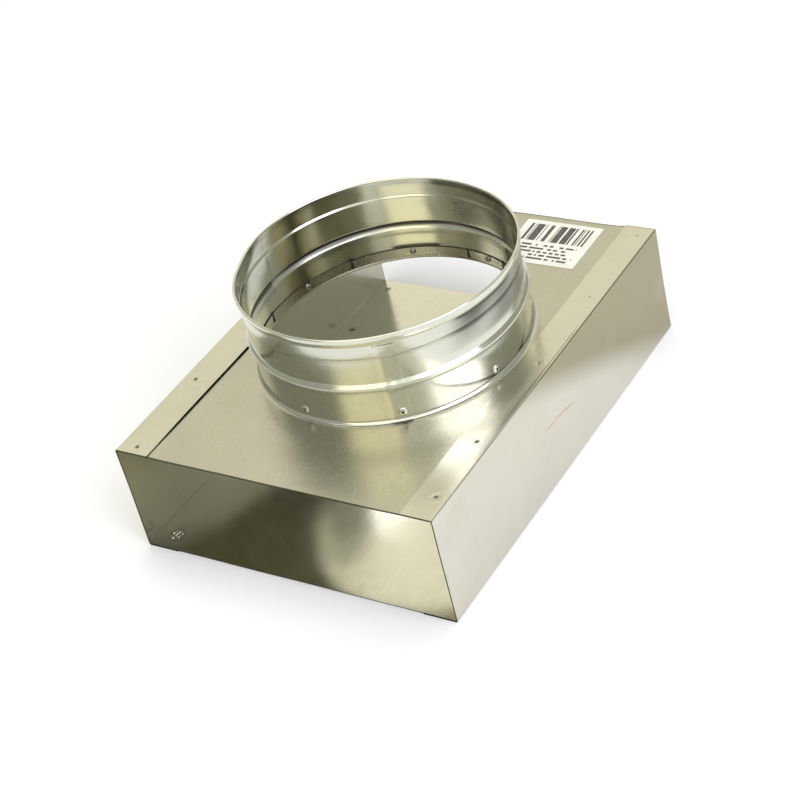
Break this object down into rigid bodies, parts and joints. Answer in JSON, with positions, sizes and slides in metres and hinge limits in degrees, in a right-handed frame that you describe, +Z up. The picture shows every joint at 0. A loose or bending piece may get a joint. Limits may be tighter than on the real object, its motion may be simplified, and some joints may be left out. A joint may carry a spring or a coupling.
{
  "type": "duct side transition",
  "caption": "Galvanised sheet-metal duct transition: a flat rectangular sleeve, open at both ends, with a round beaded collar standing on its top face.",
  "frame": {"origin": "bottom centre of the rectangular sleeve, in the plane of the undersides of the two bottom flanges, midway between the side walls and midway between the two open ends", "axes": "+Z up, parallel to the round collar's axis, out of its mouth; Y along the rectangular air path, from the front open end (-Y) to the back one (+Y); +X towards the right side wall, seen from the front end"},
  "size_m": [0.257, 0.335, 0.1597],
  "materials": {
    "galvanised_side": "galvanised sheet, semi-mirror",
    "galvanised_plate": "galvanised sheet, semi-mirror",
    "galvanised_collar": "galvanised sheet, rolled, faint lines round it",
    "rivet": "satin",
    "label": "matt white paper with plain printed bars and dashes"
  },
  "bodies": {
    "root": {"side_channel_left": "galvanised_side", "side_channel_right": "galvanised_side", "top_plate": "galvanised_plate", "bottom_plate": "galvanised_plate", "collar": "galvanised_collar", "collar_rivets": "rivet", "label": "label"}
  },
  "joints": []
}
